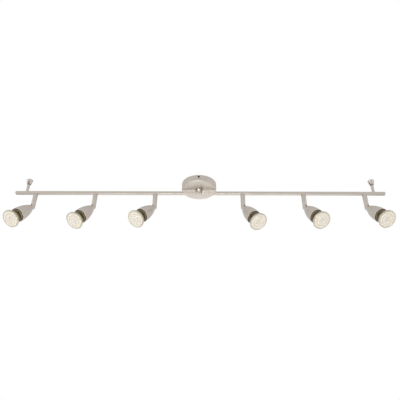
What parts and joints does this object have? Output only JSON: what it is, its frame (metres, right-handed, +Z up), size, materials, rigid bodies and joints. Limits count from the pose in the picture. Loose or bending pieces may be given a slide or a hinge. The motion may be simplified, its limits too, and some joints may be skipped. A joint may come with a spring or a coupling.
{
  "type": "ceiling spotlight bar",
  "caption": "Straight ceiling bar on a round ceiling plate, with bullet-shaped swivelling and tilting spot heads that hold twist-lock reflector lamps.",
  "frame": {"origin": "middle of the ceiling bracket's top face, in the plane that meets the ceiling", "axes": "+X along the bar, +Z up into the ceiling, -Y the side that the heads face at rest"},
  "size_m": [1.066, 0.1272, 0.1774],
  "materials": {
    "satin_nickel": "satin nickel plate, fine grain",
    "zinc_steel": "zinc-plated steel",
    "screw_steel": "darkened steel screws",
    "white_nylon": "moulded nylon",
    "white_ceramic": "unglazed steatite",
    "dichroic_glass": "pressed glass with a dark olive reflecting coat",
    "lens_glass": "pressed clear front glass"
  },
  "bodies": {
    "fixture": {"ceiling_bracket": "zinc_steel", "canopy": "satin_nickel", "canopy_screw_front": "screw_steel", "canopy_screw_back": "screw_steel", "fixing_tube": "zinc_steel", "fixing_nut": "zinc_steel", "terminal_block": "white_nylon", "hub": "satin_nickel", "bar_left": "satin_nickel", "end_cap_left": "satin_nickel", "post_left": "satin_nickel", "bar_right": "satin_nickel", "end_cap_right": "satin_nickel", "post_right": "satin_nickel"},
    "cup_left": {"cup_left": "satin_nickel", "cup_screw_left": "screw_steel"},
    "cup_right": {"cup_right": "satin_nickel", "cup_screw_right": "screw_steel"},
    "swivel_1": {"stem_1": "satin_nickel", "pivot_screw_1": "screw_steel"},
    "head_1": {"head_shell_1": "satin_nickel", "lampholder_1": "white_ceramic"},
    "lamp_1": {"lamp_base_1": "white_ceramic", "lamp_reflector_1": "dichroic_glass", "lamp_lens_1": "lens_glass"},
    "swivel_2": {"stem_2": "satin_nickel", "pivot_screw_2": "screw_steel"},
    "head_2": {"head_shell_2": "satin_nickel", "lampholder_2": "white_ceramic"},
    "lamp_2": {"lamp_base_2": "white_ceramic", "lamp_reflector_2": "dichroic_glass", "lamp_lens_2": "lens_glass"},
    "swivel_3": {"stem_3": "satin_nickel", "pivot_screw_3": "screw_steel"},
    "head_3": {"head_shell_3": "satin_nickel", "lampholder_3": "white_ceramic"},
    "lamp_3": {"lamp_base_3": "white_ceramic", "lamp_reflector_3": "dichroic_glass", "lamp_lens_3": "lens_glass"},
    "swivel_4": {"stem_4": "satin_nickel", "pivot_screw_4": "screw_steel"},
    "head_4": {"head_shell_4": "satin_nickel", "lampholder_4": "white_ceramic"},
    "lamp_4": {"lamp_base_4": "white_ceramic", "lamp_reflector_4": "dichroic_glass", "lamp_lens_4": "lens_glass"},
    "swivel_5": {"stem_5": "satin_nickel", "pivot_screw_5": "screw_steel"},
    "head_5": {"head_shell_5": "satin_nickel", "lampholder_5": "white_ceramic"},
    "lamp_5": {"lamp_base_5": "white_ceramic", "lamp_reflector_5": "dichroic_glass", "lamp_lens_5": "lens_glass"},
    "swivel_6": {"stem_6": "satin_nickel", "pivot_screw_6": "screw_steel"},
    "head_6": {"head_shell_6": "satin_nickel", "lampholder_6": "white_ceramic"},
    "lamp_6": {"lamp_base_6": "white_ceramic", "lamp_reflector_6": "dichroic_glass", "lamp_lens_6": "lens_glass"}
  },
  "joints": [
    {"name": "cup_left_slide", "type": "slide", "parent": "fixture", "child": "cup_left", "axis": [0, 0, 1], "range_m": [-0.0145, 0.004]},
    {"name": "cup_right_slide", "type": "slide", "parent": "fixture", "child": "cup_right", "axis": [0, 0, 1], "range_m": [-0.0145, 0.004]},
    {"name": "swivel_1", "type": "hinge", "parent": "fixture", "child": "swivel_1", "pos_m": [-0.474, 0, -0.034], "axis": [0, 0, 1], "range_deg": [-143, 197]},
    {"name": "tilt_1", "type": "hinge", "parent": "swivel_1", "child": "head_1", "pos_m": [-0.474, 0, -0.0755], "axis": [-0.891, 0.454, 0], "range_deg": [-40, 50]},
    {"name": "lamp_twist_1", "type": "hinge", "parent": "head_1", "child": "lamp_1", "pos_m": [-0.474, 0, -0.0755], "axis": [-0.2918, -0.5727, -0.766], "range_deg": [0, 20]},
    {"name": "swivel_2", "type": "hinge", "parent": "fixture", "child": "swivel_2", "pos_m": [-0.3, 0, -0.034], "axis": [0, 0, 1], "range_deg": [-137, 203]},
    {"name": "tilt_2", "type": "hinge", "parent": "swivel_2", "child": "head_2", "pos_m": [-0.3, 0, -0.0755], "axis": [-0.8387, 0.5446, 0], "range_deg": [-38, 52]},
    {"name": "lamp_twist_2", "type": "hinge", "parent": "head_2", "child": "lamp_2", "pos_m": [-0.3, 0, -0.0755], "axis": [-0.3353, -0.5163, -0.788], "range_deg": [0, 20]},
    {"name": "swivel_3", "type": "hinge", "parent": "fixture", "child": "swivel_3", "pos_m": [-0.126, 0, -0.034], "axis": [0, 0, 1], "range_deg": [-129, 211]},
    {"name": "tilt_3", "type": "hinge", "parent": "swivel_3", "child": "head_3", "pos_m": [-0.126, 0, -0.0755], "axis": [-0.7547, 0.6561, 0], "range_deg": [-43, 47]},
    {"name": "lamp_twist_3", "type": "hinge", "parent": "head_3", "child": "lamp_3", "pos_m": [-0.126, 0, -0.0755], "axis": [-0.4474, -0.5147, -0.7314], "range_deg": [0, 20]},
    {"name": "swivel_4", "type": "hinge", "parent": "fixture", "child": "swivel_4", "pos_m": [0.126, 0, -0.034], "axis": [0, 0, 1], "range_deg": [-208, 132]},
    {"name": "tilt_4", "type": "hinge", "parent": "swivel_4", "child": "head_4", "pos_m": [0.126, 0, -0.0755], "axis": [-0.788, -0.6157, 0], "range_deg": [-38, 52]},
    {"name": "lamp_twist_4", "type": "hinge", "parent": "head_4", "child": "lamp_4", "pos_m": [0.126, 0, -0.0755], "axis": [0.379, -0.4851, -0.788], "range_deg": [0, 20]},
    {"name": "swivel_5", "type": "hinge", "parent": "fixture", "child": "swivel_5", "pos_m": [0.3, 0, -0.034], "axis": [0, 0, 1], "range_deg": [-197, 143]},
    {"name": "tilt_5", "type": "hinge", "parent": "swivel_5", "child": "head_5", "pos_m": [0.3, 0, -0.0755], "axis": [-0.891, -0.454, 0], "range_deg": [-39, 51]},
    {"name": "lamp_twist_5", "type": "hinge", "parent": "head_5", "child": "lamp_5", "pos_m": [0.3, 0, -0.0755], "axis": [0.2857, -0.5607, -0.7771], "range_deg": [0, 20]},
    {"name": "swivel_6", "type": "hinge", "parent": "fixture", "child": "swivel_6", "pos_m": [0.474, 0, -0.034], "axis": [0, 0, 1], "range_deg": [-192, 148]},
    {"name": "tilt_6", "type": "hinge", "parent": "swivel_6", "child": "head_6", "pos_m": [0.474, 0, -0.0755], "axis": [-0.9272, -0.3746, 0], "range_deg": [-41, 49]},
    {"name": "lamp_twist_6", "type": "hinge", "parent": "head_6", "child": "lamp_6", "pos_m": [0.474, 0, -0.0755], "axis": [0.2458, -0.6083, -0.7547], "range_deg": [0, 20]}
  ]
}
